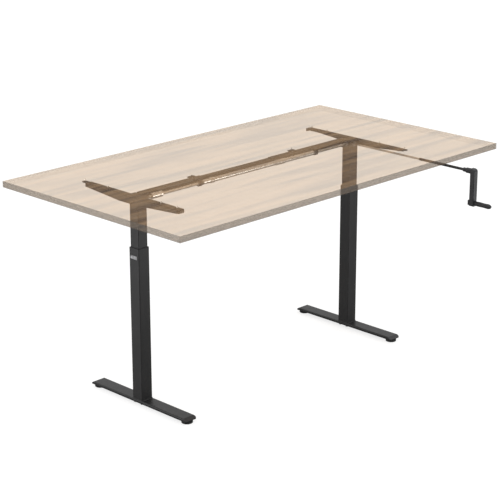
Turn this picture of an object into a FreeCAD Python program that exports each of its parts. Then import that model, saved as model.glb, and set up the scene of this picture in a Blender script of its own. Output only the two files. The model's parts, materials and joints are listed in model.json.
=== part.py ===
import FreeCAD, Part
import math
import os

# Height adjustable standing desk with a hand crank. Millimetres, +Z up.
# Origin: the floor point under the middle of the whole outline, crank included.
# +X is the user's right, -Y is the user's side.

V = FreeCAD.Vector
X_AXIS = V(1, 0, 0)
Y_AXIS = V(0, 1, 0)
Z_AXIS = V(0, 0, 1)
SIDES = (("left", -1), ("right", 1))

# ---- tabletop ----
TOP_LENGTH = 1800.0
TOP_DEPTH = 1000.0
TOP_THICK = 25.0
TOP_HEIGHT = 880.0
BAND = 2.0
CRANK_REACH = 200.0                       # grip end in front of the tabletop's edge
TOP_Y = CRANK_REACH / 2
UNDER = TOP_HEIGHT - TOP_THICK            # underside of the tabletop
FRONT_EDGE = TOP_Y - TOP_DEPTH / 2

# ---- frame ----
COLUMN_SPACING = 1208.0
COLUMN_X = COLUMN_SPACING / 2
FRAME_Y = TOP_Y + 52.0                    # columns stand behind the tabletop's middle
WALL = 2.5
WELD_GAP = 0.1                            # between parts that nest in one another

# ---- feet ----
FOOT_LENGTH = 556.0
FOOT_WIDTH = 60.0
FOOT_Z = (13.0, 25.5)
FOOT_WALL = 2.0
FOOT_UPPER_R = 5.0
FOOT_LOWER_R = 2.0
CAP_LENGTH = 15.0
CAP_TIP_Z = 16.0
CAP_CORNER_R = 8.0
PLUG_LENGTH = 10.0
PLUG_SPLIT = 10.0                         # half the gap that clears the glide's insert
FOOT_BOLT = (19.5, 4.0, 7.0, 4.4)         # offset, shank radius, head radius, head height
GLIDE_INSET = 23.0
GLIDE_RADIUS = 22.5
GLIDE_TOP = 9.0
GLIDE_BOSS = (12.0, 11.8)                 # radius, top
STUD_R = 4.0
STUD_TOP = 22.5
INSERT_R = 5.5
INSERT_TOP = 21.0
INSERT_FLANGE = (8.0, 0.8)                # radius, thickness

# ---- columns ----
OUTER_SIZE = 55.0
OUTER_TOP = 646.0
OUTER_CORNER_R = 4.0
INNER_SIZE = 47.0
INNER_CORNER_R = 3.5
INNER_Z = (240.0, UNDER - 6.0)
COLLAR_LIP = 3.0
COLLAR_DEPTH = 60.0
LOWER_GLIDE_HEIGHT = 40.0                 # stays below the collar when the desk is fully raised
LOWER_GLIDE_RIM = 3.0
SLIDE_GAP = 0.15
BASE_PLATE_THICK = 8.0
NUT_TUBE = (15.0, 12.5, 575.0)            # outer radius, inner radius, top
NUT_THICK = 30.0
NUT_SPIGOT = 20.0

# ---- lead screws ----
SHAFT_Z = UNDER - 19.0                    # the gears' common apex
SCREW_R = 7.0
SCREW_BOTTOM = 250.0
SHOULDER_Z = (SHAFT_Z - 40.0, SHAFT_Z - 36.0)
SHOULDER_R = 11.0
BEARING_R = 14.0
BEARING_THICK = 8.0
BEARING_TOP = SHOULDER_Z[1] + BEARING_THICK
BLOCK_THICK = 14.0
BLOCK_TOP = BEARING_TOP + BLOCK_THICK
JOURNAL_R = 6.0
JOURNAL_END = SHAFT_Z - 7.5
RUN = 0.05                                # radial running fit

# ---- bevel gears ----
MODULE = 1.6
GEAR_TEETH = 18
PINION_TEETH = 12
FACE = 5.5
ADDENDUM = 1.1
DEDENDUM = 1.5
TOOTH_THICK = 2.1
TOOTH_ROOT = 0.02                         # how far a tooth reaches into its blank, radians
PRESSURE_ANGLE = math.radians(20)
PINION_HUB = (7.5, 18.8)                  # radius, back face from the apex
GEAR_HUB_R = 11.0

# ---- top frame ----
ARM_INNER = 4.0                           # arm's inner edge from the column's middle
ARM_FACE = 34.0                           # arm's outer face from the column's middle
ARM_THICK = 3.0
ARM_DEPTH = 30.0
ARM_DEEP = (-72.0, 28.0)                  # where the web has its full depth
ARM_TIP = 14.0                            # depth at both ends
ARM_ENDS = (-268.0, 260.0)                # open end, closed end
ARM_BEND_R = 4.0
ARM_LIP = 8.0                             # depth of the turned-down lip on the inner edge
ARM_CORNER_R = 10.0
ARM_TAB = (10.0, -298.0)                  # half width, end
HEAD_THICK = 3.0
HEAD_HALF = 42.0
HEAD_TAB = (30.0, UNDER - 27.0)           # half width, lower edge
FLANGE_X = 19.0                           # screw line along the arm
ARM_SCREWS = (-286.0, -150.0, 150.0, 238.0)
HEAD_BOLT_Y = 34.0
HEAD_BOLT = (3.0, 5.0, 3.0)               # shank radius, head radius, head height
SIDE_BOLT = (4.0, 6.5, 3.4)
WOOD_SCREW = (2.2, 4.5, 2.4)
WOOD_SCREW_LENGTH = 13.0

# ---- crossbeam ----
BEAM_Y = (14.0, 36.0)                     # from the columns' middle
BEAM_MIDDLE = FRAME_Y + sum(BEAM_Y) / 2
BEAM_HEIGHT = 28.0
BEAM_WALL = 2.0
BEAM_FIT = 0.1
CHANNEL_END = {"left": 252.0, "right": 136.0}
CLAMP_OFFSETS = (20.0, 60.0)
CLAMP_SCREW = (3.0, 5.0, 3.0)
RAIL_REACH = 470.0
TAB_X = 285.0
TAB_SIZE = (17.0, 18.0, 3.0)              # half width, reach, thickness
BEAM_PLATE = (3.0, -16.0, BEAM_Y[1] + 2.0, UNDER - 37.0)   # thickness, front, back, lower edge
BRACKET_X = {"left": 284.0, "right": 383.0}
BRACKET_LEAF = (16.0, 3.0)                # half width, thickness
BRACKET_EYE = (7.0, 12.0)                 # half length, radius

# ---- drive shaft ----
ROD_FLATS = 7.0                           # hexagon inside the gears, and the crank's rod
ROD_R = ROD_FLATS / math.sqrt(3)
DRIVE_FLATS = 11.0                        # hexagon between the columns
DRIVE_R = DRIVE_FLATS / math.sqrt(3)
ROUND = 0.05                              # journals stand this much proud of a hexagon's corners
CRANK_JOURNAL_R = ROD_R + ROUND
DRIVE_JOURNAL_R = DRIVE_R + ROUND
JOURNAL_HALF = 11.0
ROD_TIP = 10.5                            # rod end from the gears' apex
NECK = 19.2                               # where the drive rods become thinner
BUSH_R = 9.0
BUSH_FLANGE = (11.0, 2.0)
BUSH_INSIDE = 1.5
BUSH_HALF = 8.0
TUBE_R = 9.5
TUBE_BORE = DRIVE_R + 0.1
TUBE_SPAN = (-268.0, 369.0)
ROD_IN_TUBE = (50.0, 150.0)               # how far the left and right rods reach into the tube
COUPLING_SPAN = (-539.0, -485.0)
COUPLING_R = 12.0
COUPLING_FIT = 0.02
COLLAR_SPANS = ((-229.0, -207.0), (144.0, 194.0))
COLLAR_R = 11.5
GROOVE = (2.0, 1.2)                       # width, depth
GRUB_R = 1.8
RIM_CHAMFER = 0.8

# ---- crank ----
CRANK_ROD_END = FRONT_EDGE + 148.0
CRANK_TUBE_R = 5.5
CRANK_TUBE_BORE = ROD_R + 0.3
CRANK_TUBE_SPAN = (FRONT_EDGE - 62.0, FRONT_EDGE + 169.0)
SPIGOT = 30.0                             # the tube's solid end, held in the arm's hub
CRANK_COLLAR = (8.5, -10.0, 4.0)          # radius, start and end from the tube's end
HUB_R = 11.0
HUB_GAP = 12.0
ARM_Y = FRONT_EDGE - 110.0                # middle of the crank's arm
ARM_HALF = (12.5, 11.5)                   # half width, half thickness of the crank's arm
ARM_EDGE_R = 4.0
ELBOW_R = 12.0
ARM_DROP = 130.0
GRIP_Z = SHAFT_Z - ARM_DROP
BOSS_HALF = 10.5
BOSS_BACK = ARM_Y + 18.0
GRIP_END = FRONT_EDGE - CRANK_REACH
GRIP_GAP = 0.5
PIN_R = 4.0
PIN_HEAD = (6.5, 3.0)
PIN_SHORT = 6.0                           # pin's end behind the grip's end
GRIP_RADII = (8.6, 9.9, 9.5, 8.8, 5.5)


def box(x, y, z):
    """A box from three (low, high) pairs."""
    return Part.makeBox(x[1] - x[0], y[1] - y[0], z[1] - z[0], V(x[0], y[0], z[0]))


def rod(start, axis, length, radius):
    return Part.makeCylinder(radius, length, start, axis)


def ring(start, axis, length, outer, inner):
    return rod(start, axis, length, outer).cut(rod(start, axis, length, inner))


def edges_along(shape, axis):
    """Straight edges of a shape that run along an axis."""
    found = []
    for edge in shape.Edges:
        if len(edge.Vertexes) != 2:
            continue
        run = edge.Vertexes[1].Point - edge.Vertexes[0].Point
        if abs(run.dot(axis)) > 0.999 * run.Length:
            found.append(edge)
    return found


def rounded_bar(x, y, z, axis, radius):
    bar = box(x, y, z)
    return bar.makeFillet(radius, edges_along(bar, axis))


def square(size):
    return (-size / 2, size / 2)


def square_tube(outer, inner, z, radius):
    inner_radius = max(radius - (outer - inner) / 2, 0.8)
    body = rounded_bar(square(outer), square(outer), z, Z_AXIS, radius)
    return body.cut(rounded_bar(square(inner), square(inner), z, Z_AXIS, inner_radius))


def hex_bar(start, axis, length, flats):
    """A hexagonal bar along X, Y or Z."""
    radius = flats / math.sqrt(3)
    side = V(0, 1, 0) if abs(axis.x) > 0.5 else V(1, 0, 0)
    up = axis.cross(side)
    corners = []
    for k in range(7):
        angle = math.radians(60 * k)
        corners.append(start + side * (radius * math.cos(angle)) + up * (radius * math.sin(angle)))
    return Part.Face(Part.makePolygon(corners)).extrude(axis * length)


def circles_at(shape, axis, place, radius):
    """Circular edges wider than a radius that lie at one place along an axis."""
    return [e for e in shape.Edges if isinstance(e.Curve, Part.Circle)
            and abs(e.Curve.Center.dot(axis) - place) < 1e-6 and e.Curve.Radius > radius]


def socket_screw(head_base, axis, sizes, shank_length):
    """A screw whose shank runs along axis from head_base, with its head behind it."""
    shank_r, head_r, head_h = sizes
    back = head_base - axis * head_h
    screw = rod(back, axis, head_h, head_r)
    screw = screw.makeFillet(head_h * 0.35, circles_at(screw, axis, back.dot(axis), 0))
    screw = screw.cut(hex_bar(back, axis, head_h * 0.6, head_r * 0.95))
    return screw.fuse(rod(head_base, axis, shank_length, shank_r))


def at_column(shape, side):
    """Moves a shape drawn about the right column's axis to one of the columns."""
    if side < 0:
        shape = shape.mirror(V(0, 0, 0), V(1, 0, 0))
    return shape.translated(V(side * COLUMN_X, FRAME_Y, 0))


def save(node, *shapes):
    solid = shapes[0] if len(shapes) == 1 else Part.makeCompound(list(shapes))
    solid.exportStep(os.path.join("parts", node + ".step"))


# ---- feet ----

def flat_bar(width, span, z, upper, lower):
    """A flat bar along Y with one radius on its upper long edges and one on its lower ones."""
    bar = box(square(width), span, z)
    bar = bar.makeFillet(upper, [e for e in edges_along(bar, Y_AXIS) if e.Vertexes[0].Point.z > z[0] + 1])
    return bar.makeFillet(lower, [e for e in edges_along(bar, Y_AXIS) if e.Vertexes[0].Point.z < z[0] + 0.01])


def foot_bolt_places():
    offset = FOOT_BOLT[0]
    return [(x, y) for x in (-offset, offset) for y in (-offset, offset)]


def foot():
    half = FOOT_LENGTH / 2 - CAP_LENGTH
    inner_z = (FOOT_Z[0] + FOOT_WALL, FOOT_Z[1] - FOOT_WALL)
    tube = flat_bar(FOOT_WIDTH, (-half, half), FOOT_Z, FOOT_UPPER_R, FOOT_LOWER_R)
    inner_width = FOOT_WIDTH - 2 * FOOT_WALL
    tube = tube.cut(flat_bar(inner_width, (-half, half), inner_z, FOOT_UPPER_R - FOOT_WALL, 0.8))
    for x, y in foot_bolt_places():
        tube = tube.cut(rod(V(x, y, FOOT_Z[0]), Z_AXIS, FOOT_Z[1] - FOOT_Z[0], FOOT_BOLT[1] + 0.2))
    for end in (-1, 1):
        place = V(0, end * (FOOT_LENGTH / 2 - GLIDE_INSET), FOOT_Z[0])
        tube = tube.cut(rod(place, Z_AXIS, FOOT_WALL, INSERT_R))
    return tube


def foot_cap(end):
    """A moulded end cap: its top slopes down to a rounded nose, two lugs plug into the foot."""
    half = FOOT_LENGTH / 2
    seam = half - CAP_LENGTH
    body = flat_bar(FOOT_WIDTH, (seam, half), FOOT_Z, FOOT_UPPER_R, FOOT_LOWER_R)
    side = [V(0, seam, FOOT_Z[0]), V(0, half, FOOT_Z[0]), V(0, half, CAP_TIP_Z), V(0, seam, FOOT_Z[1]),
            V(0, seam, FOOT_Z[0])]
    wedge = Part.Face(Part.makePolygon(side)).extrude(X_AXIS * FOOT_WIDTH)
    body = body.common(wedge.translated(X_AXIS * (-FOOT_WIDTH / 2)))
    plan = box(square(FOOT_WIDTH), (seam, half), FOOT_Z)
    corners = [e for e in edges_along(plan, Z_AXIS) if e.Vertexes[0].Point.y > half - 1]
    body = body.common(plan.makeFillet(CAP_CORNER_R, corners))
    fit = FOOT_WALL + WELD_GAP
    plug_z = (FOOT_Z[0] + fit, FOOT_Z[1] - fit)
    plug = flat_bar(FOOT_WIDTH - 2 * fit, (seam - PLUG_LENGTH, seam + 1), plug_z, 3.2, 1.0)
    plug = plug.cut(box((-PLUG_SPLIT, PLUG_SPLIT), (seam - PLUG_LENGTH, seam), FOOT_Z))
    cap = body.fuse(plug).removeSplitter()
    return cap if end > 0 else cap.mirror(V(0, 0, 0), Y_AXIS)


def glide_insert(end):
    flange_r, flange_h = INSERT_FLANGE
    place = V(0, end * (FOOT_LENGTH / 2 - GLIDE_INSET), FOOT_Z[0] - flange_h)
    length = INSERT_TOP - place.z
    body = rod(place, Z_AXIS, length, INSERT_R).fuse(rod(place, Z_AXIS, flange_h, flange_r))
    return body.cut(rod(place, Z_AXIS, length, STUD_R + RUN)).removeSplitter()


def levelling_glide(end):
    place = V(0, end * (FOOT_LENGTH / 2 - GLIDE_INSET), 0)
    boss_r, boss_top = GLIDE_BOSS
    pad = rod(place, Z_AXIS, GLIDE_TOP, GLIDE_RADIUS)
    pad = pad.makeChamfer(1.2, circles_at(pad, Z_AXIS, 0, 0) + circles_at(pad, Z_AXIS, GLIDE_TOP, 0))
    boss = rod(place, Z_AXIS, boss_top, boss_r)
    return pad.fuse([boss, rod(place, Z_AXIS, STUD_TOP, STUD_R)]).removeSplitter()


def foot_bolts():
    length = FOOT_Z[1] + BASE_PLATE_THICK - FOOT_Z[0]
    return [socket_screw(V(x, y, FOOT_Z[0]), Z_AXIS, FOOT_BOLT[1:], length) for x, y in foot_bolt_places()]


# ---- lower columns ----

def base_plate():
    inside = square(OUTER_SIZE - 2 * WALL - WELD_GAP)
    plate = rounded_bar(inside, inside, (FOOT_Z[1], FOOT_Z[1] + BASE_PLATE_THICK), Z_AXIS, 1.6)
    for x, y in foot_bolt_places():
        plate = plate.cut(rod(V(x, y, FOOT_Z[1]), Z_AXIS, BASE_PLATE_THICK, FOOT_BOLT[1]))
    return plate


def outer_column():
    return square_tube(OUTER_SIZE, OUTER_SIZE - 2 * WALL, (FOOT_Z[1], OUTER_TOP), OUTER_CORNER_R)


def glide_collar():
    hole = INNER_SIZE + 2 * SLIDE_GAP
    liner = square_tube(OUTER_SIZE - 2 * WALL - WELD_GAP, hole, (OUTER_TOP - COLLAR_DEPTH, OUTER_TOP), 1.5)
    lip = square_tube(OUTER_SIZE, hole, (OUTER_TOP, OUTER_TOP + COLLAR_LIP), OUTER_CORNER_R)
    return liner.fuse(lip)


def nut_tube():
    outer, inner, top = NUT_TUBE
    bottom = FOOT_Z[1] + BASE_PLATE_THICK
    return ring(V(0, 0, bottom), Z_AXIS, top - bottom, outer, inner)


def lift_nut():
    outer, inner, top = NUT_TUBE
    low = V(0, 0, top - NUT_SPIGOT)
    body = rod(V(0, 0, top), Z_AXIS, NUT_THICK, outer).fuse(rod(low, Z_AXIS, NUT_SPIGOT, inner - 0.02))
    return body.cut(rod(low, Z_AXIS, NUT_THICK + NUT_SPIGOT, SCREW_R + RUN))


# ---- upper columns ----

def inner_column(with_crank):
    tube = square_tube(INNER_SIZE, INNER_SIZE - 2 * WALL, INNER_Z, INNER_CORNER_R)
    tube = tube.cut(rod(V(0, 0, SHAFT_Z), -X_AXIS, INNER_SIZE, BUSH_R))
    if with_crank:
        tube = tube.cut(rod(V(0, 0, SHAFT_Z), -Y_AXIS, INNER_SIZE, BUSH_R))
    return tube


def lower_glide():
    bottom = INNER_Z[0]
    outer = OUTER_SIZE - 2 * WALL - 2 * SLIDE_GAP
    sleeve = square_tube(outer, INNER_SIZE + WELD_GAP, (bottom, bottom + LOWER_GLIDE_HEIGHT), 1.4)
    rim = square_tube(outer, INNER_SIZE - 2 * WALL, (bottom - LOWER_GLIDE_RIM, bottom), 1.4)
    return sleeve.fuse(rim)


def head_plate():
    """The bracket welded on an upper column: a top plate and a turned-down tab for the arm."""
    inside = ARM_FACE - ARM_THICK - WELD_GAP
    tab_half, tab_low = HEAD_TAB
    plate = box((-INNER_SIZE / 2, inside), (-HEAD_HALF, HEAD_HALF), (INNER_Z[1], INNER_Z[1] + HEAD_THICK))
    tab = box((inside - HEAD_THICK, inside), (-tab_half, tab_half), (tab_low, INNER_Z[1]))
    bracket = plate.fuse(tab).removeSplitter()
    for y in (-HEAD_BOLT_Y, HEAD_BOLT_Y):
        bracket = bracket.cut(rod(V(FLANGE_X, y, INNER_Z[1]), Z_AXIS, HEAD_THICK, HEAD_BOLT[0]))
    return bracket.cut(rod(V(INNER_SIZE / 2, 0, SHAFT_Z), X_AXIS, ARM_FACE, SIDE_BOLT[0]))


def arm():
    """One pressed support arm, closed and rounded at its +Y end, with a screw tab at the other."""
    front, back = ARM_ENDS
    low = UNDER - ARM_DEPTH
    tip = UNDER - ARM_TIP
    outline = [V(ARM_INNER, front, UNDER), V(ARM_INNER, back, UNDER), V(ARM_INNER, back, tip),
               V(ARM_INNER, ARM_DEEP[1], low), V(ARM_INNER, ARM_DEEP[0], low), V(ARM_INNER, front, tip),
               V(ARM_INNER, front, UNDER)]
    body = Part.Face(Part.makePolygon(outline)).extrude(X_AXIS * (ARM_FACE - ARM_INNER))
    corner = [e for e in edges_along(body, Z_AXIS) if e.Vertexes[0].Point.y > back - 1
              and e.Vertexes[0].Point.x > ARM_FACE - 1]
    body = body.makeFillet(ARM_CORNER_R, corner)
    bend = [e for e in body.Edges if e.BoundBox.ZMin > UNDER - 1e-3
            and (e.BoundBox.XMin > ARM_FACE - ARM_CORNER_R - 1e-3 or e.BoundBox.YMin > back - 1e-3)]
    body = body.makeFillet(ARM_BEND_R, [e for e in bend if e.BoundBox.YMax > front + 1])
    flange_z = UNDER - ARM_THICK
    inside = box((-ARM_FACE, ARM_FACE - ARM_THICK), (front - 1, back - ARM_THICK), (low - 1, flange_z))
    inner_corner = [e for e in edges_along(inside, Z_AXIS) if e.Vertexes[0].Point.x > 0
                    and e.Vertexes[0].Point.y > 0]
    body = body.cut(inside.makeFillet(ARM_CORNER_R - ARM_THICK, inner_corner))
    lip_x = (ARM_INNER, ARM_INNER + ARM_THICK)
    lip_z = (UNDER - ARM_LIP, UNDER - ARM_THICK)
    for y in ((front, -HEAD_HALF - 1), (HEAD_HALF + 1, back - ARM_THICK)):
        body = body.fuse(box(lip_x, y, lip_z))
    half, end = ARM_TAB
    tab = box((FLANGE_X - half, FLANGE_X + half), (end, front + half), (flange_z, UNDER))
    rounded = [e for e in edges_along(tab, Z_AXIS) if e.Vertexes[0].Point.y < end + 1]
    body = body.fuse(tab.makeFillet(half - 1, rounded)).removeSplitter()
    holes = [(y, WOOD_SCREW[0]) for y in ARM_SCREWS]
    holes += [(y, HEAD_BOLT[0]) for y in (-HEAD_BOLT_Y, HEAD_BOLT_Y)]
    for y, radius in holes:
        body = body.cut(rod(V(FLANGE_X, y, flange_z), Z_AXIS, ARM_THICK, radius))
    return body.cut(rod(V(INNER_SIZE / 2, 0, SHAFT_Z), X_AXIS, ARM_FACE, SIDE_BOLT[0]))


def placed_arm(side):
    """The same arm at either column, turned half round for the left one."""
    shape = arm()
    if side < 0:
        shape.rotate(V(0, 0, 0), Z_AXIS, 180)
    return shape.translated(V(side * COLUMN_X, FRAME_Y, 0))


def arm_bolts():
    bolts = [socket_screw(V(FLANGE_X, y, INNER_Z[1]), Z_AXIS, HEAD_BOLT, HEAD_THICK + ARM_THICK)
             for y in (-HEAD_BOLT_Y, HEAD_BOLT_Y)]
    through = ARM_THICK + WELD_GAP + HEAD_THICK
    return bolts + [socket_screw(V(ARM_FACE, 0, SHAFT_Z), -X_AXIS, SIDE_BOLT, through)]


def wood_screw(x, y):
    return socket_screw(V(x, y, UNDER - ARM_THICK), Z_AXIS, WOOD_SCREW, WOOD_SCREW_LENGTH)


def screw_places():
    """Where the frame is screwed up into the tabletop."""
    places = []
    for _, side in SIDES:
        for y in ARM_SCREWS:
            places.append((side * (COLUMN_X + FLANGE_X), FRAME_Y + side * y))
        places.append((side * TAB_X, FRAME_Y + BEAM_Y[1] + TAB_SIZE[1] / 2))
    return places


# ---- crossbeam ----

def beam_bracket():
    thick, front, back, low = BEAM_PLATE
    face = -INNER_SIZE / 2
    plate = box((face - thick, face), (front, back), (low, INNER_Z[1]))
    return plate.cut(rod(V(0, 0, SHAFT_Z), -X_AXIS, INNER_SIZE, BUSH_R))


def beam_channel(name, side):
    start = COLUMN_X - INNER_SIZE / 2 - BEAM_PLATE[0]
    end = CHANNEL_END[name]
    y = (FRAME_Y + BEAM_Y[0], FRAME_Y + BEAM_Y[1])
    z = (UNDER - BEAM_HEIGHT, UNDER)
    body = rounded_bar((end, start), y, z, X_AXIS, 1.5)
    hollow_y = (y[0] + BEAM_WALL, y[1] - BEAM_WALL)
    body = body.cut(box((end, start), hollow_y, (z[0] + BEAM_WALL, z[1] - BEAM_WALL)))
    half, reach, thick = TAB_SIZE
    tab = box((TAB_X - half, TAB_X + half), (y[1], y[1] + reach), (UNDER - thick, UNDER))
    outer = [e for e in edges_along(tab, Z_AXIS) if e.Vertexes[0].Point.y > y[1] + 1]
    body = body.fuse(tab.makeFillet(6.0, outer)).removeSplitter()
    body = body.cut(rod(V(TAB_X, y[1] + reach / 2, UNDER - thick), Z_AXIS, thick, WOOD_SCREW[0]))
    for offset in CLAMP_OFFSETS:
        body = body.cut(rod(V(end + offset, BEAM_MIDDLE, z[0]), Z_AXIS, BEAM_WALL, CLAMP_SCREW[0]))
    return body if side > 0 else body.mirror(V(0, 0, 0), X_AXIS)


def clamp_screw_places():
    return [side * (CHANNEL_END[name] + offset) for name, side in SIDES for offset in CLAMP_OFFSETS]


def beam_rail():
    skin = BEAM_WALL + BEAM_FIT
    span = (-RAIL_REACH, RAIL_REACH)
    y = (FRAME_Y + BEAM_Y[0] + skin, FRAME_Y + BEAM_Y[1] - skin)
    z = (UNDER - BEAM_HEIGHT + skin, UNDER - skin)
    body = rounded_bar(span, y, z, X_AXIS, 1.0)
    body = body.cut(box(span, (y[0] + BEAM_WALL, y[1] - BEAM_WALL), (z[0] + BEAM_WALL, z[1] - BEAM_WALL)))
    for x in clamp_screw_places():
        body = body.cut(rod(V(x, BEAM_MIDDLE, z[0]), Z_AXIS, BEAM_WALL, CLAMP_SCREW[0]))
    return body


def clamp_screw(x):
    head = V(x, BEAM_MIDDLE, UNDER - BEAM_HEIGHT)
    return socket_screw(head, Z_AXIS, CLAMP_SCREW, 2 * BEAM_WALL + BEAM_FIT)


def shaft_bracket(x):
    """Hangs the drive shaft in front of the crossbeam."""
    leaf_half, leaf_thick = BRACKET_LEAF
    half, radius = BRACKET_EYE
    front = BEAM_Y[0] - leaf_thick
    leaf = box((x - leaf_half, x + leaf_half), (front, BEAM_Y[0]), (UNDER - BEAM_HEIGHT, UNDER - 3))
    cheek = box((x - half, x + half), (0, front), (SHAFT_Z - radius + 1, SHAFT_Z + radius - 1))
    eye = rod(V(x - half, 0, SHAFT_Z), X_AXIS, 2 * half, radius)
    body = leaf.fuse([cheek, eye])
    body = body.cut(rod(V(x - half, 0, SHAFT_Z), X_AXIS, 2 * half, BUSH_R)).removeSplitter()
    return body.translated(V(0, FRAME_Y, 0))


# ---- bearings ----

def bearing_block():
    size = square(INNER_SIZE - 2 * WALL - WELD_GAP)
    block = rounded_bar(size, size, (BEARING_TOP, BLOCK_TOP), Z_AXIS, 1.2)
    return block.cut(rod(V(0, 0, BEARING_TOP), Z_AXIS, BLOCK_THICK, JOURNAL_R + RUN))


def thrust_bearing():
    return ring(V(0, 0, SHOULDER_Z[1]), Z_AXIS, BEARING_THICK, BEARING_R, JOURNAL_R + RUN)


def wall_bush(axis, outside, journal_r):
    """A flanged bush in an upper column's wall; outside is the thickness of a plate on that wall."""
    inner_end = INNER_SIZE / 2 - WALL - BUSH_INSIDE
    length = BUSH_INSIDE + WALL + outside
    flange_r, flange_h = BUSH_FLANGE
    start = V(0, 0, SHAFT_Z) + axis * inner_end
    bush = rod(start, axis, length, BUSH_R).fuse(rod(start + axis * length, axis, flange_h, flange_r))
    return bush.cut(rod(start, axis, length + flange_h, journal_r + RUN)).removeSplitter()


def bracket_bush(x):
    start = V(x - BUSH_HALF, FRAME_Y, SHAFT_Z)
    return ring(start, X_AXIS, 2 * BUSH_HALF, BUSH_R, DRIVE_JOURNAL_R + RUN)


# ---- lead screws and gears ----

def lead_screw():
    screw = rod(V(0, 0, SCREW_BOTTOM), Z_AXIS, SHOULDER_Z[0] - SCREW_BOTTOM, SCREW_R)
    shoulder = rod(V(0, 0, SHOULDER_Z[0]), Z_AXIS, SHOULDER_Z[1] - SHOULDER_Z[0], SHOULDER_R)
    journal = rod(V(0, 0, SHOULDER_Z[1]), Z_AXIS, JOURNAL_END - SHOULDER_Z[1], JOURNAL_R)
    return screw.fuse([shoulder, journal]).removeSplitter()


def bevel_gear(teeth, mate, bore, hub_r, hub_back, first_tooth):
    """A bevel gear about +Z with its apex at the origin and its back at hub_back along +Z."""
    cone = math.atan2(teeth, mate)
    reach = MODULE * math.hypot(teeth, mate) / 2
    inner = (reach - FACE) / reach
    root = cone - math.atan(DEDENDUM / reach)
    tip = cone + math.atan(ADDENDUM / reach)
    foot_angle = root - TOOTH_ROOT
    base = (reach * math.cos(root), reach * math.sin(root))
    outline = [V(bore, 0, inner * base[0]), V(inner * base[1], 0, inner * base[0]), V(base[1], 0, base[0]),
               V(hub_r, 0, base[0] + 1.5), V(hub_r, 0, hub_back), V(bore, 0, hub_back),
               V(bore, 0, inner * base[0])]
    blank = Part.Face(Part.makePolygon(outline)).revolve(V(0, 0, 0), Z_AXIS, 360)
    slope = math.tan(PRESSURE_ANGLE)
    root_half = (TOOTH_THICK / 2 + DEDENDUM * slope) / (reach * math.sin(root))
    tip_half = (TOOTH_THICK / 2 - ADDENDUM * slope) / (reach * math.sin(tip))
    flanks = ((foot_angle, -root_half), (tip, -tip_half), (tip, tip_half), (foot_angle, root_half))
    solids = []
    for k in range(teeth):
        middle = first_tooth + 2 * math.pi * k / teeth
        wires = []
        for scale in (1.0, inner):
            corners = []
            for angle, half in flanks:
                radial = scale * reach * math.sin(angle)
                height = scale * reach * math.cos(angle)
                turn = middle + half
                corners.append(V(radial * math.cos(turn), radial * math.sin(turn), height))
            wires.append(Part.makePolygon(corners + corners[:1]))
        solids.append(Part.makeLoft(wires, True, True))
    return blank.fuse(solids).removeSplitter()


def spindle_gear():
    gear = bevel_gear(GEAR_TEETH, PINION_TEETH, JOURNAL_R, GEAR_HUB_R, SHAFT_Z - BLOCK_TOP - 0.3, 0.0)
    gear.rotate(V(0, 0, 0), X_AXIS, 180)
    return gear.translated(V(0, 0, SHAFT_Z))


def pinion(axis, first_tooth):
    """A pinion about the column's apex whose shaft leaves along axis (-X or -Y)."""
    hub_r, hub_back = PINION_HUB
    gear = bevel_gear(PINION_TEETH, GEAR_TEETH, ROD_R + ROUND, hub_r, hub_back, first_tooth)
    if abs(axis.x) > 0.5:
        gear.rotate(V(0, 0, 0), Y_AXIS, -90)
    else:
        gear.rotate(V(0, 0, 0), X_AXIS, 90)
    return gear.translated(V(0, 0, SHAFT_Z))


# ---- drive shaft ----

def drive_point(x):
    return V(x, FRAME_Y, SHAFT_Z)


def drive_rods():
    """Stub, left rod and right rod: hexagonal, round in their bushes, thinner inside the columns."""
    tip = COLUMN_X - ROD_TIP
    neck = COLUMN_X - NECK
    wall = COLUMN_X - INNER_SIZE / 2
    middle = sum(COUPLING_SPAN) / 2
    inside = (TUBE_SPAN[0] + ROD_IN_TUBE[0], TUBE_SPAN[1] - ROD_IN_TUBE[1])
    spans = ((-tip, middle - 1), (middle + 1, inside[0]), (inside[1], tip))
    journals = [(-neck, -wall + JOURNAL_HALF), (wall - JOURNAL_HALF, neck)]
    for x in (-BRACKET_X["left"], BRACKET_X["right"]):
        journals.append((x - JOURNAL_HALF, x + JOURNAL_HALF))
    rods = []
    for low, high in spans:
        start = max(low, -neck)
        end = min(high, neck)
        bar = hex_bar(drive_point(start), X_AXIS, end - start, DRIVE_FLATS)
        for first, last in journals:
            if start <= first and last <= end:
                bar = bar.fuse(rod(drive_point(first), X_AXIS, last - first, DRIVE_JOURNAL_R))
        if low < start:
            bar = bar.fuse(hex_bar(drive_point(low), X_AXIS, start - low, ROD_FLATS))
        if high > end:
            bar = bar.fuse(hex_bar(drive_point(end), X_AXIS, high - end, ROD_FLATS))
        rods.append(bar.removeSplitter())
    return rods


def drive_tube():
    low, high = TUBE_SPAN
    return ring(drive_point(low), X_AXIS, high - low, TUBE_R, TUBE_BORE)


def shaft_sleeve(span, outer, bore):
    """A clamping sleeve with two grooves and two grub screw holes."""
    low, high = span
    groove, depth = GROOVE
    sleeve = ring(drive_point(low), X_AXIS, high - low, outer, bore)
    rims = circles_at(sleeve, X_AXIS, low, bore + 0.1) + circles_at(sleeve, X_AXIS, high, bore + 0.1)
    sleeve = sleeve.makeChamfer(RIM_CHAMFER, rims)
    for part in (0.25, 0.75):
        x = low + part * (high - low)
        sleeve = sleeve.cut(rod(drive_point(x), -Y_AXIS, outer + 1, GRUB_R))
    for part in (0.4, 0.6):
        x = low + part * (high - low)
        sleeve = sleeve.cut(ring(drive_point(x - groove / 2), X_AXIS, groove, outer + 1, outer - depth))
    return sleeve


# ---- crank ----

def crank_point(y):
    return V(COLUMN_X, y, SHAFT_Z)


def grip_point(y):
    return V(COLUMN_X, y, GRIP_Z)


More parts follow.
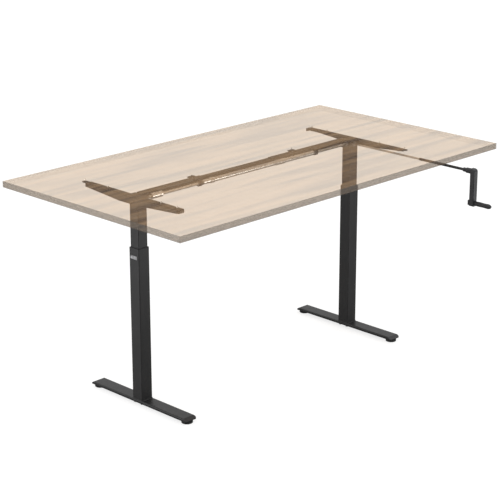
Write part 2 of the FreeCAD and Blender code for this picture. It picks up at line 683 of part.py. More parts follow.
def crank_rod():
    end = FRAME_Y - ROD_TIP
    bar = hex_bar(crank_point(CRANK_ROD_END), Y_AXIS, end - CRANK_ROD_END, ROD_FLATS)
    wall = FRAME_Y - INNER_SIZE / 2
    journal = rod(crank_point(wall - BUSH_HALF), Y_AXIS, 2 * BUSH_HALF, CRANK_JOURNAL_R)
    return bar.fuse(journal).removeSplitter()


def crank_tube():
    low, high = CRANK_TUBE_SPAN
    tube = ring(crank_point(low), Y_AXIS, high - low, CRANK_TUBE_R, CRANK_TUBE_BORE)
    return tube.fuse(rod(crank_point(low - SPIGOT), Y_AXIS, SPIGOT, CRANK_TUBE_R)).removeSplitter()


def crank_collar():
    radius, start, end = CRANK_COLLAR
    low = CRANK_TUBE_SPAN[0] + start
    high = CRANK_TUBE_SPAN[0] + end
    collar = ring(crank_point(low), Y_AXIS, high - low, radius, CRANK_TUBE_R)
    rims = [edge for y in (low, high) for edge in circles_at(collar, Y_AXIS, y, CRANK_TUBE_R + 1)]
    return collar.makeChamfer(RIM_CHAMFER, rims)


def crank_arm():
    """Hub, rounded elbow, straight arm and the block for the grip's pin."""
    half_width, half_thick = ARM_HALF
    hub_end = CRANK_TUBE_SPAN[0] - HUB_GAP
    hub = rod(crank_point(ARM_Y), Y_AXIS, hub_end - ARM_Y, HUB_R)
    hub = hub.makeFillet(1.5, circles_at(hub, Y_AXIS, hub_end, 0))
    across = (COLUMN_X - half_width, COLUMN_X + half_width)
    front = ARM_Y - half_thick
    top = SHAFT_Z + half_width
    shaft = box(across, (front, ARM_Y + half_thick), (GRIP_Z - half_width, top))
    elbow = [e for e in edges_along(shaft, X_AXIS)
             if e.Vertexes[0].Point.z > top - 1 and e.Vertexes[0].Point.y < front + 1]
    shaft = shaft.makeFillet(ELBOW_R, elbow)
    sides = [e for e in shaft.Edges if e.BoundBox.XLength < 1e-3 and (
        abs(e.BoundBox.XMin - across[0]) < 1e-3 or abs(e.BoundBox.XMin - across[1]) < 1e-3)]
    shaft = shaft.makeFillet(ARM_EDGE_R, sides)
    block = box((COLUMN_X - BOSS_HALF, COLUMN_X + BOSS_HALF), (ARM_Y, BOSS_BACK),
                (GRIP_Z - BOSS_HALF, GRIP_Z + BOSS_HALF))
    block = block.makeFillet(3.0, edges_along(block, Y_AXIS))
    body = shaft.fuse([hub, block])
    body = body.cut(rod(crank_point(CRANK_TUBE_SPAN[0] - SPIGOT), Y_AXIS, SPIGOT, CRANK_TUBE_R))
    return body.cut(rod(grip_point(front), Y_AXIS, BOSS_BACK - front, PIN_R)).removeSplitter()


def grip_pin():
    return socket_screw(grip_point(BOSS_BACK), -Y_AXIS, (PIN_R,) + PIN_HEAD, BOSS_BACK - GRIP_END - PIN_SHORT)


def crank_grip():
    high = ARM_Y - ARM_HALF[1] - GRIP_GAP
    low = GRIP_END
    thirds = (high - low) / 3
    stations = (high, high - thirds, low + thirds, low + 6, low)
    profile = [V(COLUMN_X + radius, y, GRIP_Z) for radius, y in zip(GRIP_RADII, stations)]
    curve = Part.BSplineCurve()
    curve.interpolate(profile)
    corners = [profile[-1], grip_point(low), grip_point(high), profile[0]]
    sides = [Part.LineSegment(a, b).toShape() for a, b in zip(corners, corners[1:])]
    outline = Part.Wire([curve.toShape()] + sides)
    grip = Part.Face(outline).revolve(grip_point(0), Y_AXIS, 360)
    return grip.cut(rod(grip_point(low + PIN_SHORT - 1), Y_AXIS, high - low, PIN_R + RUN))


# ---- tabletop ----

def tabletop():
    half = TOP_LENGTH / 2 - BAND
    board = box((-half, half), (FRONT_EDGE + BAND, TOP_Y + TOP_DEPTH / 2 - BAND), (UNDER, TOP_HEIGHT))
    for x, y in screw_places():
        board = board.cut(rod(V(x, y, UNDER), Z_AXIS, WOOD_SCREW_LENGTH - ARM_THICK, WOOD_SCREW[0]))
    return board


def edge_bands():
    x = TOP_LENGTH / 2
    back = TOP_Y + TOP_DEPTH / 2
    z = (UNDER, TOP_HEIGHT)
    return {"front": box((-x, x), (FRONT_EDGE, FRONT_EDGE + BAND), z),
            "back": box((-x, x), (back - BAND, back), z),
            "left": box((-x, -x + BAND), (FRONT_EDGE + BAND, back - BAND), z),
            "right": box((x - BAND, x), (FRONT_EDGE + BAND, back - BAND), z)}

def save_mirrored():
    """The pieces that stand once at each column."""
    shapes = {"foot": foot(), "outer_column": outer_column(), "glide_collar": glide_collar(),
              "nut_tube": nut_tube(), "lift_nut": lift_nut(), "lower_glide": lower_glide(),
              "head_plate": head_plate(), "bearing_block": bearing_block(),
              "lead_screw": lead_screw(), "spindle_gear": spindle_gear()}
    for name, side in SIDES:
        for node, shape in shapes.items():
            save(node + "_" + name, at_column(shape, side))
        save("inner_column_" + name, at_column(inner_column(side > 0), side))
        save("arm_" + name, placed_arm(side))
        save("beam_channel_" + name, beam_channel(name, side))
        save("shaft_bracket_" + name, shaft_bracket(side * BRACKET_X[name]))
        for end_name, end in (("front", -1), ("back", 1)):
            save("levelling_glide_%s_%s" % (name, end_name), at_column(levelling_glide(end), side))


def both(shapes):
    return [at_column(shape, side) for _, side in SIDES for shape in shapes]


def save_grouped():
    """Like pieces on one body, kept together."""
    save("foot_caps", *both([foot_cap(-1), foot_cap(1)]))
    save("glide_inserts", *both([glide_insert(-1), glide_insert(1)]))
    save("foot_bolts", *both(foot_bolts()))
    save("base_plates", *both([base_plate()]))
    save("thrust_bearings", *both([thrust_bearing()]))
    save("arm_bolts", *both(arm_bolts()))
    save("beam_brackets", *both([beam_bracket()]))
    save("wood_screws", *[wood_screw(x, y) for x, y in screw_places()])
    save("beam_clamp_screws", *[clamp_screw(x) for x in clamp_screw_places()])
    bushes = both([wall_bush(-X_AXIS, BEAM_PLATE[0], DRIVE_JOURNAL_R)])
    bushes.append(at_column(wall_bush(-Y_AXIS, 0.0, CRANK_JOURNAL_R), 1))
    bushes += [bracket_bush(side * BRACKET_X[name]) for name, side in SIDES]
    save("shaft_bushes", *bushes)


def save_drive():
    half_pitch = math.pi / PINION_TEETH
    save("drive_pinions", *both([pinion(-X_AXIS, half_pitch)]))
    save("drive_rods", *drive_rods())
    save("drive_tube", drive_tube())
    sleeves = [shaft_sleeve(COUPLING_SPAN, COUPLING_R, DRIVE_R + COUPLING_FIT)]
    sleeves += [shaft_sleeve(span, COLLAR_R, TUBE_R) for span in COLLAR_SPANS]
    save("shaft_sleeves", *sleeves)
    save("crank_pinion", at_column(pinion(-Y_AXIS, 0.0), 1))
    save("crank_rod", crank_rod())
    save("crank_tube", crank_tube())
    save("crank_collar", crank_collar())
    save("crank_arm", crank_arm())
    save("crank_grip_pin", grip_pin())
    save("crank_grip", crank_grip())


def build():
    os.makedirs("parts", exist_ok=True)
    save_mirrored()
    save_grouped()
    save_drive()
    save("beam_rail", beam_rail())
    save("tabletop", tabletop())
    for name, band in edge_bands().items():
        save("edge_band_" + name, band)


build()
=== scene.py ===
import json
import math

import bmesh
import bpy
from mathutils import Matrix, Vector


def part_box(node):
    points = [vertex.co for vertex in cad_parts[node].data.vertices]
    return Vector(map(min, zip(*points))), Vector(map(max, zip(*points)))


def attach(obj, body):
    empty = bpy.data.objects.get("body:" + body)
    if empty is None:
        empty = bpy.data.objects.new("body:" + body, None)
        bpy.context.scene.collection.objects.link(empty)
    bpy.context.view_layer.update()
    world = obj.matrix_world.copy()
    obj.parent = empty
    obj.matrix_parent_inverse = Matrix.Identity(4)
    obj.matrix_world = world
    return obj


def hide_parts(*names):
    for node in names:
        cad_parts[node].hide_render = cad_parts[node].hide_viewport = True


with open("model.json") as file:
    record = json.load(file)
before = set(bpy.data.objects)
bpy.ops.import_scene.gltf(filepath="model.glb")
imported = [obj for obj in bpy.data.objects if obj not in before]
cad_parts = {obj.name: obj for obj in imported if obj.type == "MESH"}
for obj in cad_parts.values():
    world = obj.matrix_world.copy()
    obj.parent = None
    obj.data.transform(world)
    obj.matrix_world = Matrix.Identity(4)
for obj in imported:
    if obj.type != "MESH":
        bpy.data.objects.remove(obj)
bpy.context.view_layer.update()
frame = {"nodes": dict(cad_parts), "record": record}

bl_info = {
    "name": "Hand Crank Desk",
    "version": (1, 0, 0),
    "blender": (4, 5, 0),
    "location": "3D View > Sidebar > Desk",
    "description": "Height adjustable desk with a translucent oak board and a black steel frame",
    "category": "Add Mesh",
}

FLOOR_SIZE = 60
FLOOR_DROP = 0.0005         # keeps the glides from lying in the floor's own plane
FLOOR_PAINT = 0.3           # the floor's grey, before its glow
SENSOR_WIDTH = 36           # millimetres

SAME_PLACE = 1e-5           # two corners nearer than this along an axis are level
UPRIGHT = 0.5               # a normal's Z below this belongs to an upright face
BAND_SMOOTH = math.radians(35)
WELD_SMOOTH = math.radians(40)
WELD_CORNER = 0.006
BADGE_CORNER = 0.0022
BADGE_BORDER = 0.001

# name, place, size and power of each soft lamp, and where both look
LAMPS = (
    ("lamp_left", (-2.6, 0.9, 0.3), 1.0, 24),
    ("lamp_front", (1.5, -2.2, 0.3), 1.0, 20),
)
LAMP_AIM = Vector((0, 0.1, 0.4))

# filled in by the finishes' operator: the material's name for each slot
MATERIAL_NAMES = {}


# ---------------------------------------------------------------- settings

class BoardSettings(bpy.types.PropertyGroup):
    """The translucent oak board and its edge bands."""
    arris: bpy.props.FloatProperty(
        name="Arris", description="Rounding along the bands' outer edges",
        default=0.0012, min=0.0, unit="LENGTH")
    board_gap: bpy.props.FloatProperty(
        name="Glue line", description="Space between a band and the board",
        default=0.00015, min=0.0, unit="LENGTH")
    board_lift: bpy.props.FloatProperty(
        name="Board lift", description="Space between the frame's top and the board's underside",
        default=0.0003, min=0.0, unit="LENGTH")
    board_cover: bpy.props.FloatProperty(
        name="Board cover", description="Share of wood in each face of the board",
        default=0.28, min=0.0, max=1.0, subtype="FACTOR")
    board_tint: bpy.props.FloatVectorProperty(
        name="Board tint", description="Colour that light takes on in each face of the board",
        default=(1.0, 0.955, 0.90), size=3, subtype="COLOR")
    # painted shade: the front and left bands get far more plastic in each face than the back and right bands,
    # so they show darker
    shaded_band_share: bpy.props.FloatProperty(
        name="Band cover", description="Share of plastic in each face of the front and left edge bands",
        default=0.31, min=0.0, max=1.0, subtype="FACTOR")
    # painted light: the back and right bands get almost no plastic, a lit and nearly clear copy of the same
    # band
    lit_band_share: bpy.props.FloatProperty(
        name="Pale band cover", description="Share of plastic in each face of the back and right edge bands",
        default=0.012, min=0.0, max=1.0, subtype="FACTOR")
    band_tint: bpy.props.FloatVectorProperty(
        name="Band tint", description="Colour that light takes on in each face of an edge band",
        default=(0.985, 0.98, 0.975), size=3, subtype="COLOR")
    light_oak: bpy.props.FloatVectorProperty(
        name="Light oak", description="Colour between the grain streaks",
        default=(0.44, 0.275, 0.14), size=3, subtype="COLOR")
    dark_oak: bpy.props.FloatVectorProperty(
        name="Dark oak", description="Colour of the grain streaks",
        default=(0.11, 0.06, 0.03), size=3, subtype="COLOR")
    core_oak: bpy.props.FloatVectorProperty(
        name="Core", description="Colour of the board's sides, under the bands",
        default=(0.30, 0.23, 0.165), size=3, subtype="COLOR")
    band_oak: bpy.props.FloatVectorProperty(
        name="Band oak", description="Colour of the edge bands",
        default=(0.12, 0.10, 0.08), size=3, subtype="COLOR")


class FrameSettings(bpy.types.PropertyGroup):
    """Finishes and small fittings of the steel frame."""
    powder_black: bpy.props.FloatVectorProperty(
        name="Powder black", description="Colour of the powder-coated steel",
        default=(0.0125, 0.0125, 0.0132), size=3, subtype="COLOR")
    zinc: bpy.props.FloatVectorProperty(
        name="Zinc", description="Colour of the zinc-plated shafts and screws",
        default=(0.90, 0.89, 0.87), size=3, subtype="COLOR")
    weld_leg: bpy.props.FloatProperty(
        name="Weld leg", description="Width and height of the weld round a column's foot",
        default=0.0023, min=0.0005, unit="LENGTH")
    badge_size: bpy.props.FloatVectorProperty(
        name="Badge", description="Width, height and thickness of the blank plate on the left column",
        default=(0.034, 0.014, 0.0009), size=3, unit="LENGTH")
    badge_drop: bpy.props.FloatProperty(
        name="Badge drop", description="The plate's middle below the column's top",
        default=0.034, unit="LENGTH")


class StageSettings(bpy.types.PropertyGroup):
    """Camera, floor and studio light."""
    eye: bpy.props.FloatVectorProperty(
        name="Eye", description="Where the camera stands",
        default=(-4.5379, -4.3490, 2.5905), size=3, subtype="TRANSLATION")
    heading: bpy.props.FloatProperty(
        name="Heading", description="Turn of the view from +Y towards +X",
        default=math.radians(45.453), subtype="ANGLE")
    dip: bpy.props.FloatProperty(
        name="Dip", description="How far the view looks down",
        default=math.radians(18.139), subtype="ANGLE")
    lens: bpy.props.FloatProperty(
        name="Lens", description="Focal length on a 36 mm wide sensor, in millimetres",
        default=118.366)
    shift: bpy.props.FloatVectorProperty(
        name="Shift", description="Lens shift across and up", default=(-0.0133, -0.0009), size=2)
    horizon_light: bpy.props.FloatProperty(
        name="Horizon", description="Brightness of the studio at eye level", default=0.32, min=0.0)
    zenith_light: bpy.props.FloatProperty(
        name="Zenith", description="Brightness of the studio overhead", default=1.15, min=0.0)
    floor_glow: bpy.props.FloatProperty(
        name="Floor glow", description="How white the floor looks by itself", default=0.78, min=0.0, max=1.0)


# ---------------------------------------------------------------- node helpers

class Finish:
    """A node material under construction: one Principled BSDF with its own pattern nodes."""

    def __init__(self, name):
        self.material = bpy.data.materials.new(name)
        self.material.use_nodes = True
        self.nodes = self.material.node_tree.nodes
        self.links = self.material.node_tree.links
        self.shader = self.nodes["Principled BSDF"]
        self.place = self.nodes.new("ShaderNodeTexCoord").outputs["Object"]

    def link(self, source, target):
        self.links.new(source, target)

    def set(self, **values):
        """Sets the shader's own sockets; an underscore in a name stands for a space."""
        for socket, value in values.items():
            self.shader.inputs[socket.replace("_", " ")].default_value = value

    def stretch(self, scale):
        """The place on the piece, scaled on each axis."""
        node = self.nodes.new("ShaderNodeMapping")
        node.inputs["Scale"].default_value = scale
        self.link(self.place, node.inputs["Vector"])
        return node.outputs["Vector"]

    def noise(self, scale, detail=3.0, rough=0.5, vector=None, distort=0.0):
        """Soft noise from 0 to 1 with scale cells a metre, or as the given vector is stretched."""
        node = self.nodes.new("ShaderNodeTexNoise")
        node.inputs["Scale"].default_value = scale
        node.inputs["Detail"].default_value = detail
        node.inputs["Roughness"].default_value = rough
        node.inputs["Distortion"].default_value = distort
        self.link(vector or self.place, node.inputs["Vector"])
        return node.outputs["Fac"]

    def ramp(self, value, *stops):
        """Colour stops as (position, colour) pairs; a number stands for a grey."""
        node = self.nodes.new("ShaderNodeValToRGB")
        elements = node.color_ramp.elements
        while len(elements) < len(stops):
            elements.new(0.5)
        for element, (position, colour) in zip(elements, stops):
            element.position = position
            element.color = (*colour, 1) if hasattr(colour, "__len__") else (colour, colour, colour, 1)
        self.link(value, node.inputs["Fac"])
        return node.outputs["Color"]

    def between(self, value, low, high):
        """Maps 0 to 1 onto low to high."""
        node = self.nodes.new("ShaderNodeMapRange")
        node.inputs["To Min"].default_value = low
        node.inputs["To Max"].default_value = high
        self.link(value, node.inputs["Value"])
        return node.outputs["Result"]

    def mix(self, share, first, second, mode="MIX"):
        """Blends two colours; each of the three can be a socket or a value."""
        node = self.nodes.new("ShaderNodeMix")
        node.data_type = "RGBA"
        node.blend_type = mode
        for socket, value in (("Factor", share), ("A", first), ("B", second)):
            target = [s for s in node.inputs if s.name == socket and s.enabled][0]
            if isinstance(value, bpy.types.NodeSocket):
                self.link(value, target)
            elif hasattr(value, "__len__"):
                target.default_value = (*value, 1)
            else:
                target.default_value = value
        return [s for s in node.outputs if s.enabled][0]

    def bump(self, height, distance, strength):
        node = self.nodes.new("ShaderNodeBump")
        node.inputs["Distance"].default_value = distance
        node.inputs["Strength"].default_value = strength
        self.link(height, node.inputs["Height"])
        self.link(node.outputs["Normal"], self.shader.inputs["Normal"])

    def flat_faces(self):
        """1 on faces that look up or down, 0 on upright ones."""
        place = self.nodes.new("ShaderNodeTexCoord")
        split = self.nodes.new("ShaderNodeSeparateXYZ")
        self.link(place.outputs["Normal"], split.inputs["Vector"])
        size = self.nodes.new("ShaderNodeMath")
        size.operation = "ABSOLUTE"
        self.link(split.outputs["Z"], size.inputs[0])
        step = self.nodes.new("ShaderNodeMath")
        step.operation = "GREATER_THAN"
        step.inputs[1].default_value = UPRIGHT
        self.link(size.outputs[0], step.inputs[0])
        return step.outputs[0]

    def see_through(self, cover, tint):
        """Lets light pass: the finish covers a share of the face and tinted clear fills the rest."""
        clear = self.nodes.new("ShaderNodeBsdfTransparent")
        clear.inputs["Color"].default_value = (*tint, 1)
        blend = self.nodes.new("ShaderNodeMixShader")
        blend.inputs["Fac"].default_value = cover
        self.link(clear.outputs[0], blend.inputs[1])
        self.link(self.shader.outputs[0], blend.inputs[2])
        self.link(blend.outputs[0], self.nodes["Material Output"].inputs["Surface"])

    def colour(self, socket):
        self.link(socket, self.shader.inputs["Base Color"])

    def rough(self, socket):
        self.link(socket, self.shader.inputs["Roughness"])


# ---------------------------------------------------------------- finishes

def shaded(colour, share):
    """A colour made darker or lighter by a share."""
    return tuple(channel * share for channel in colour)


def oak(name, board):
    """Oak laminate, see-through: broad soft streaks along X, finer grain lines and short pores."""
    finish = Finish(name)
    streaks = finish.noise(1.0, detail=4, rough=0.6, vector=finish.stretch((1.3, 21, 21)), distort=0.4)
    lines = finish.noise(1.0, detail=3, rough=0.6, vector=finish.stretch((3.0, 110, 110)))
    pores = finish.noise(1.0, detail=2, rough=0.5, vector=finish.stretch((28, 900, 900)))
    light = tuple(board.light_oak)
    bright = shaded(light, 1.3)
    body = finish.ramp(streaks, (0.39, tuple(board.dark_oak)), (0.5, light), (0.6, bright))
    body = finish.mix(0.8, body, finish.ramp(lines, (0.35, 0.78), (0.65, 1.0)), "MULTIPLY")
    body = finish.mix(0.5, body, finish.ramp(pores, (0.30, 0.8), (0.42, 1.0)), "MULTIPLY")
    finish.colour(finish.mix(finish.flat_faces(), tuple(board.core_oak), body))
    finish.rough(finish.between(lines, 0.42, 0.56))
    finish.bump(pores, distance=0.00012, strength=0.5)
    finish.set(Specular_IOR_Level=0.3)
    finish.see_through(board.board_cover, board.board_tint)
    return finish.material


def oak_band(name, board, cover):
    """Plastic edge band printed with grain, see-through and greyer than the board; a higher cover paints
    shade on the bands that use it.
    """
    finish = Finish(name)
    lines = finish.noise(1.0, detail=3, rough=0.6, vector=finish.stretch((4, 4, 260)))
    patches = finish.noise(6, detail=3, rough=0.5)
    tone = tuple(board.band_oak)
    body = finish.ramp(patches, (0.3, shaded(tone, 0.85)), (0.7, shaded(tone, 1.15)))
    finish.colour(finish.mix(0.7, body, finish.ramp(lines, (0.35, 0.8), (0.65, 1.0)), "MULTIPLY"))
    finish.rough(finish.between(patches, 0.36, 0.5))
    finish.bump(lines, distance=0.00004, strength=0.5)
    finish.set(Specular_IOR_Level=0.3)
    finish.see_through(cover, board.band_tint)
    return finish.material


def powder_coat(name, colour):
    """Powder coat: fine orange peel, faint clouds and a little dust."""
    finish = Finish(name)
    peel = finish.noise(1400, detail=2, rough=0.5)
    cloud = finish.noise(9, detail=4, rough=0.6)
    dust = finish.noise(60, detail=5, rough=0.65)
    base = finish.ramp(cloud, (0.3, shaded(colour, 0.85)), (0.7, shaded(colour, 1.2)))
    base = finish.mix(finish.ramp(dust, (0.55, 0.0), (0.8, 0.25)), base, shaded(colour, 2.2))
    finish.colour(base)
    finish.rough(finish.between(dust, 0.34, 0.52))
    finish.bump(peel, distance=0.00006, strength=0.5)
    finish.set(Specular_IOR_Level=0.45)
    return finish.material


def plated(name, colour, rough, grain):
    """Plated or turned steel with fine marks; grain is the pattern's stretch on each axis."""
    finish = Finish(name)
    marks = finish.noise(1.0, detail=4, rough=0.6, vector=finish.stretch(grain))
    stain = finish.noise(40, detail=4, rough=0.6)
    base = finish.ramp(stain, (0.3, shaded(colour, 0.82)), (0.65, colour))
    finish.colour(finish.mix(0.5, base, finish.ramp(marks, (0.3, 0.8), (0.7, 1.0)), "MULTIPLY"))
    finish.rough(finish.between(marks, *rough))
    finish.bump(marks, distance=0.00004, strength=0.4)
    finish.set(Metallic=1.0)
    return finish.material


def moulded(name, colour, rough, texture_scale, depth):
    """Moulded plastic or rubber with a fine eroded texture."""
    finish = Finish(name)
    texture = finish.noise(texture_scale, detail=3, rough=0.6)
    patches = finish.noise(25, detail=3, rough=0.5)
    finish.colour(finish.ramp(patches, (0.3, shaded(colour, 0.85)), (0.7, shaded(colour, 1.15))))
    finish.rough(finish.between(patches, *rough))
    finish.bump(texture, distance=depth, strength=0.7)
    finish.set(Specular_IOR_Level=0.4)
    return finish.material


def make_finishes(scene):
    """One material for each of the record's slots, and a second edge band: painted shade makes the front and
    left bands darker than the pale, lit back and right ones.
    """
    board = scene.desk_board
    steel = scene.desk_frame
    return {
        "laminate": oak("oak_laminate", board),
        # painted shade: this band copy is more solid and darker; the next one is the pale, lit copy of the
        # same plastic
        "edge_band": oak_band("shaded_edge_band", board, board.shaded_band_share),
        "lit_band_copy": oak_band("lit_edge_band", board, board.lit_band_share),
        "black_steel": powder_coat("black_powder_coat", tuple(steel.powder_black)),
        "zinc_steel": plated("bright_zinc", tuple(steel.zinc), rough=(0.2, 0.34), grain=(60, 700, 700)),
        "dark_steel": plated("black_oxide", (0.10, 0.10, 0.105), rough=(0.35, 0.5), grain=(300, 300, 300)),
        "gear_steel": plated("machined_steel", (0.42, 0.42, 0.43), rough=(0.28, 0.4), grain=(500, 500, 500)),
        "brass": plated("turned_brass", (0.72, 0.50, 0.20), rough=(0.25, 0.35), grain=(90, 90, 900)),
        "black_plastic": moulded(
            "black_nylon", (0.022, 0.022, 0.024), rough=(0.38, 0.5), texture_scale=1600, depth=0.00008),
        "grey_plastic": moulded(
            "grey_acetal", (0.24, 0.24, 0.25), rough=(0.32, 0.42), texture_scale=1200, depth=0.00003),
        "rubber": moulded(
            "black_rubber", (0.018, 0.018, 0.018), rough=(0.7, 0.85), texture_scale=900, depth=0.0001),
    }


def finish_for(slot):
    """The material made for a slot."""
    return bpy.data.materials[MATERIAL_NAMES[slot]]


# ---------------------------------------------------------------- modelling helpers

def deselect_all():
    if bpy.context.object and bpy.context.object.mode != "OBJECT":
        bpy.ops.object.mode_set(mode="OBJECT")
    bpy.ops.object.select_all(action="DESELECT")


def settle(piece, name, slot, body, *nodes, finish=None):
    """Puts a finished piece's place in its mesh and ties it to the frame."""
    deselect_all()
    piece.select_set(True)
    bpy.context.view_layer.objects.active = piece
    bpy.ops.object.transform_apply(location=True, rotation=True, scale=True)
    bpy.ops.object.origin_set(type="ORIGIN_CURSOR")
    piece.name = name
    piece.data.name = name
    piece.data.materials.clear()
    piece.data.materials.append(finish_for(finish or slot))
    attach(piece, body)
    if nodes:
        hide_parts(*nodes)
    return piece


def add_box(low, high):
    """A box between two corners, left in edit mode with everything selected."""
    deselect_all()
    bpy.ops.mesh.primitive_cube_add(size=1, location=(low + high) / 2, scale=high - low)
    piece = bpy.context.object
    bpy.ops.object.transform_apply(location=True, rotation=True, scale=True)
    bpy.ops.object.mode_set(mode="EDIT")
    return piece


def select_edges(piece, chosen):
    """Selects, in edit mode, the edges whose two end points pass a test."""
    bpy.ops.mesh.select_mode(type="EDGE")
    bpy.ops.mesh.select_all(action="DESELECT")
    mesh = bmesh.from_edit_mesh(piece.data)
    for edge in mesh.edges:
        ends = [vertex.co for vertex in edge.verts]
        edge.select_set(chosen(*ends))
    bmesh.update_edit_mesh(piece.data)


def close_to(value, target):
    return abs(value - target) < SAME_PLACE


# ---------------------------------------------------------------- pieces

class DESK_OT_finishes(bpy.types.Operator):
    """Makes the finishes and puts them on the frame's own nodes"""
    bl_idname = "desk.finishes"
    bl_label = "Finishes"

    def execute(self, context):
        made = make_finishes(context.scene)
        MATERIAL_NAMES.update({slot: material.name for slot, material in made.items()})
        for part in frame["record"]["subparts"]:
            node = frame["nodes"][part["node"]]
            node.data.materials.clear()
            node.data.materials.append(finish_for(part["material_slot"]))
        return {"FINISHED"}


class DESK_OT_board(bpy.types.Operator):
    """The oak board, a hair above the frame that carries it"""
    bl_idname = "desk.board"
    bl_label = "Board"

    def execute(self, context):
        board = context.scene.desk_board
        low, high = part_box("tabletop")
        low.z += board.board_lift
        piece = add_box(low, high)
        select_edges(piece, lambda a, b: close_to(a.z, b.z))
        bpy.ops.mesh.bevel(offset=board.board_lift, segments=1, affect="EDGES")
        settle(piece, "oak_board", "laminate", "lift", "tabletop")
        return {"FINISHED"}


class DESK_OT_edge_bands(bpy.types.Operator):
    """Edge bands with rounded outer edges, a glue line away from the board; painted shade makes the front and
    left ones darker
    """
    bl_idname = "desk.edge_bands"
    bl_label = "Edge Bands"

    def execute(self, context):
        board = context.scene.desk_board
        sides = (("front", 1, -1), ("back", 1, 1), ("left", 0, -1), ("right", 0, 1))
        for side, axis, outward in sides:
            low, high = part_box("edge_band_" + side)
            if outward > 0:
                low[axis] += board.board_gap
                outer = high[axis]
            else:
                high[axis] -= board.board_gap
                outer = low[axis]
            piece = add_box(low, high)
            select_edges(piece, lambda a, b: close_to(a[axis], outer) and close_to(b[axis], outer))
            bpy.ops.mesh.bevel(offset=board.arris, segments=4, affect="EDGES")
            # painted shade: the front and left bands take the darker copy, the back and right bands the pale,
            # lit copy
            shade = "lit_band_copy" if outward > 0 else "edge_band"
            settle(piece, "banding_" + side, "edge_band", "lift", "edge_band_" + side, finish=shade)
            bpy.ops.object.shade_smooth_by_angle(angle=BAND_SMOOTH)
        return {"FINISHED"}


class DESK_OT_welds(bpy.types.Operator):
    """A weld bead round each column where it stands on its foot"""
    bl_idname = "desk.welds"
    bl_label = "Welds"

    def execute(self, context):
        leg = context.scene.desk_frame.weld_leg
        for side in ("left", "right"):
            low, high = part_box("outer_column_" + side)
            foot_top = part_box("foot_" + side)[1].z
            reach = Vector((leg, leg, 0))
            bottom = Vector((low.x, low.y, foot_top)) - reach
            top = Vector((high.x, high.y, foot_top + leg)) + reach
            piece = add_box(bottom, top)
            select_edges(piece, lambda a, b: abs(a.z - b.z) > leg / 2)
            bpy.ops.mesh.bevel(offset=WELD_CORNER, segments=6, affect="EDGES")
            select_edges(piece, lambda a, b: close_to(a.z, top.z) and close_to(b.z, top.z))
            bpy.ops.mesh.bevel(offset=leg * 0.9, segments=4, affect="EDGES")
            settle(piece, "column_weld_" + side, "black_steel", "base")
            bpy.ops.object.shade_smooth_by_angle(angle=WELD_SMOOTH)
        return {"FINISHED"}


class DESK_OT_badge(bpy.types.Operator):
    """A blank plate with a shallow field, high on the left column's outer face"""
    bl_idname = "desk.badge"
    bl_label = "Badge"

    def execute(self, context):
        steel = context.scene.desk_frame
        width, height, thick = steel.badge_size
        low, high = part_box("outer_column_left")
        middle = Vector((low.x, (low.y + high.y) / 2, high.z - steel.badge_drop))
        half = Vector((0, width / 2, height / 2))
        piece = add_box(middle - half - Vector((thick, 0, 0)), middle + half)
        face = low.x - thick
        select_edges(piece, lambda a, b: close_to(a.x, face) != close_to(b.x, face))
        bpy.ops.mesh.bevel(offset=BADGE_CORNER, segments=4, affect="EDGES")
        select_edges(piece, lambda a, b: close_to(a.x, face) and close_to(b.x, face))
        bpy.ops.mesh.bevel(offset=thick * 0.4, segments=2, affect="EDGES")
        bpy.ops.mesh.select_mode(type="FACE")
        bpy.ops.mesh.select_all(action="DESELECT")
        mesh = bmesh.from_edit_mesh(piece.data)
        front = max((f for f in mesh.faces if f.normal.x < -0.9), key=lambda f: f.calc_area())
        front.select_set(True)
        bmesh.update_edit_mesh(piece.data)
        bpy.ops.mesh.inset(thickness=BADGE_BORDER)
        bpy.ops.transform.translate(value=(thick * 0.3, 0, 0))
        settle(piece, "blank_badge", "gear_steel", "base")
        return {"FINISHED"}


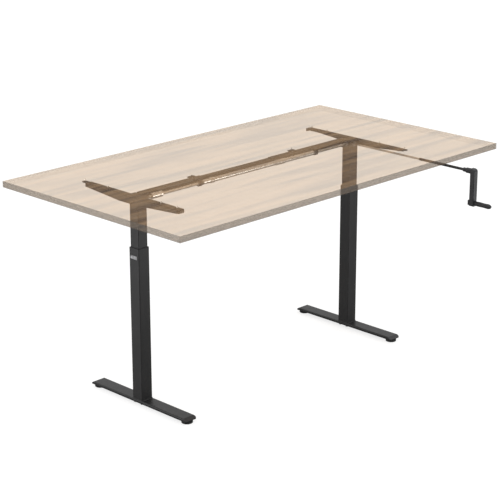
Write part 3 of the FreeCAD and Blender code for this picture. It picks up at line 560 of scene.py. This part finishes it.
class DESK_OT_stage(bpy.types.Operator):
    """Makes the floor, the studio light and the camera"""
    bl_idname = "desk.stage"
    bl_label = "Stage"

    def execute(self, context):
        settings = context.scene.desk_stage
        deselect_all()
        bpy.ops.mesh.primitive_plane_add(size=FLOOR_SIZE, location=(0, 0, -FLOOR_DROP))
        floor = context.object
        floor.name = "floor"
        floor.data.materials.append(self.floor_paint(settings.floor_glow))
        self.lights(context, settings)
        self.camera(context, settings)
        return {"FINISHED"}

    def floor_paint(self, glow):
        """Near white where it is looked at, and a softer grey in what it throws back on the desk."""
        paint = Finish("pale_floor")
        paint.colour(paint.ramp(paint.noise(2.0, detail=3, rough=0.5), (0.3, 0.31), (0.7, 0.33)))
        paint.set(Roughness=0.9, Specular_IOR_Level=0.1)
        lamp = paint.nodes.new("ShaderNodeEmission")
        lamp.inputs["Strength"].default_value = glow
        white = paint.nodes.new("ShaderNodeBsdfDiffuse")
        white.inputs["Color"].default_value = (FLOOR_PAINT, FLOOR_PAINT, FLOOR_PAINT, 1)
        shown = paint.nodes.new("ShaderNodeAddShader")
        paint.link(lamp.outputs[0], shown.inputs[0])
        paint.link(white.outputs[0], shown.inputs[1])
        ray = paint.nodes.new("ShaderNodeLightPath")
        choice = paint.nodes.new("ShaderNodeMixShader")
        paint.link(ray.outputs["Is Camera Ray"], choice.inputs["Fac"])
        paint.link(paint.shader.outputs[0], choice.inputs[1])
        paint.link(shown.outputs[0], choice.inputs[2])
        paint.link(choice.outputs[0], paint.nodes["Material Output"].inputs["Surface"])
        return paint.material

    def lights(self, context, settings):
        self.studio_sky(context, settings)
        for name, place, size, power in LAMPS:
            deselect_all()
            bpy.ops.object.light_add(type="AREA", location=place)
            light = context.object
            light.name = name
            light.data.size = size
            light.data.energy = power
            light.rotation_euler = (LAMP_AIM - light.location).to_track_quat("-Z", "Y").to_euler()

    def studio_sky(self, context, settings):
        """White to look at; the desk itself is lit from above more than from the sides."""
        world = context.scene.world or bpy.data.worlds.new("studio")
        context.scene.world = world
        world.use_nodes = True
        nodes = world.node_tree.nodes
        links = world.node_tree.links
        room = nodes["Background"]
        split = nodes.new("ShaderNodeSeparateXYZ")
        links.new(nodes.new("ShaderNodeTexCoord").outputs["Generated"], split.inputs[0])
        height = nodes.new("ShaderNodeMapRange")
        height.interpolation_type = "SMOOTHSTEP"
        height.inputs["From Min"].default_value = -0.05
        height.inputs["From Max"].default_value = 0.6
        height.inputs["To Min"].default_value = settings.horizon_light
        height.inputs["To Max"].default_value = settings.zenith_light
        links.new(split.outputs["Z"], height.inputs["Value"])
        links.new(height.outputs[0], room.inputs["Strength"])
        room.inputs["Color"].default_value = (1, 1, 1, 1)
        backdrop = nodes.new("ShaderNodeBackground")
        backdrop.inputs["Color"].default_value = (1, 1, 1, 1)
        choice = nodes.new("ShaderNodeMixShader")
        links.new(nodes.new("ShaderNodeLightPath").outputs["Is Camera Ray"], choice.inputs["Fac"])
        links.new(room.outputs[0], choice.inputs[1])
        links.new(backdrop.outputs[0], choice.inputs[2])
        links.new(choice.outputs[0], nodes["World Output"].inputs["Surface"])

    def camera(self, context, settings):
        deselect_all()
        bpy.ops.object.camera_add(location=settings.eye)
        camera = context.object
        flat = math.cos(settings.dip)
        across = math.sin(settings.heading) * flat
        ahead = math.cos(settings.heading) * flat
        look = Vector((across, ahead, -math.sin(settings.dip)))
        camera.rotation_euler = look.to_track_quat("-Z", "Y").to_euler()
        camera.data.sensor_width = SENSOR_WIDTH
        camera.data.lens = settings.lens
        camera.data.shift_x, camera.data.shift_y = settings.shift
        context.scene.camera = camera
        context.scene.view_settings.view_transform = "Standard"


class DESK_PT_panel(bpy.types.Panel):
    """Lists the desk's operators in the sidebar"""
    bl_label = "Hand Crank Desk"
    bl_idname = "DESK_PT_panel"
    bl_space_type = "VIEW_3D"
    bl_region_type = "UI"
    bl_category = "Desk"

    def draw(self, context):
        for operator in OPERATORS:
            self.layout.operator(operator.bl_idname)


SETTINGS = (BoardSettings, FrameSettings, StageSettings)
OPERATORS = (DESK_OT_finishes, DESK_OT_board, DESK_OT_edge_bands, DESK_OT_welds, DESK_OT_badge, DESK_OT_stage)


def register():
    for cls in SETTINGS + OPERATORS + (DESK_PT_panel,):
        bpy.utils.register_class(cls)
    bpy.types.Scene.desk_board = bpy.props.PointerProperty(type=BoardSettings)
    bpy.types.Scene.desk_frame = bpy.props.PointerProperty(type=FrameSettings)
    bpy.types.Scene.desk_stage = bpy.props.PointerProperty(type=StageSettings)


def unregister():
    del bpy.types.Scene.desk_board
    del bpy.types.Scene.desk_frame
    del bpy.types.Scene.desk_stage
    for cls in reversed(SETTINGS + OPERATORS + (DESK_PT_panel,)):
        bpy.utils.unregister_class(cls)


def main():
    register()
    for operator in OPERATORS:
        namespace, name = operator.bl_idname.split(".")
        getattr(getattr(bpy.ops, namespace), name)()


if __name__ == "__main__":
    main()
